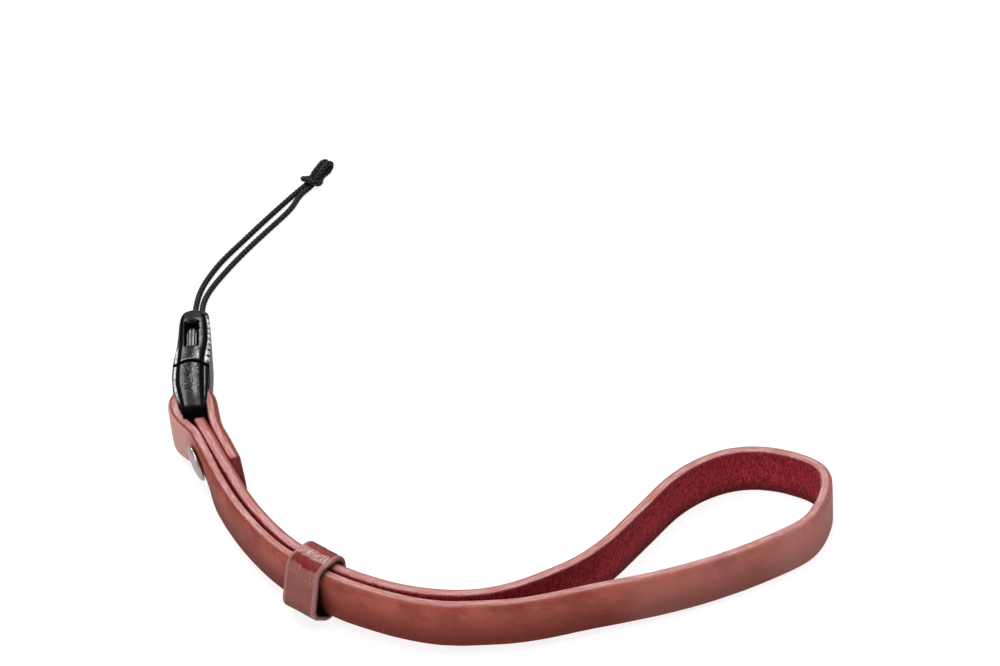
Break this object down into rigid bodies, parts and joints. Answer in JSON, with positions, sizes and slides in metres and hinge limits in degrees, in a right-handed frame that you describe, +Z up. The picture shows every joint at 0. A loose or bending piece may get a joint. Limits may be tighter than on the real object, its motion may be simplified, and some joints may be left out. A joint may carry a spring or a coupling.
{
  "type": "camera wrist strap",
  "caption": "Leather wrist strap on its edge: teardrop wrist loop with a sliding keeper, riveted fold round a quick-release clip, and a thin braided cord loop ending in a hitch.",
  "frame": {"origin": "middle of the base of the strap and clip, measured without the cord; the surface it lies on is Z 0", "axes": "+X along the wrist loop, away from the clip; +Y from the wrist loop's side towards the clip and cord; +Z up, across the strap's width"},
  "size_m": [0.1284, 0.16, 0.0136],
  "materials": {
    "strap_leather": "vegetable-tanned look, terracotta grain face, dark red flesh side, burnished edges",
    "keeper_leather": "thinner smooth leather",
    "rivet_metal": "satin",
    "clip_plastic": "fine-grained moulded black",
    "cord_braid": "tight round braid"
  },
  "bodies": {
    "root": {"leather_strap": "strap_leather", "rivet": "rivet_metal", "strap_keeper": "keeper_leather", "clip_plug": "clip_plastic", "clip_socket": "clip_plastic", "cord_loop": "cord_braid"}
  },
  "joints": []
}
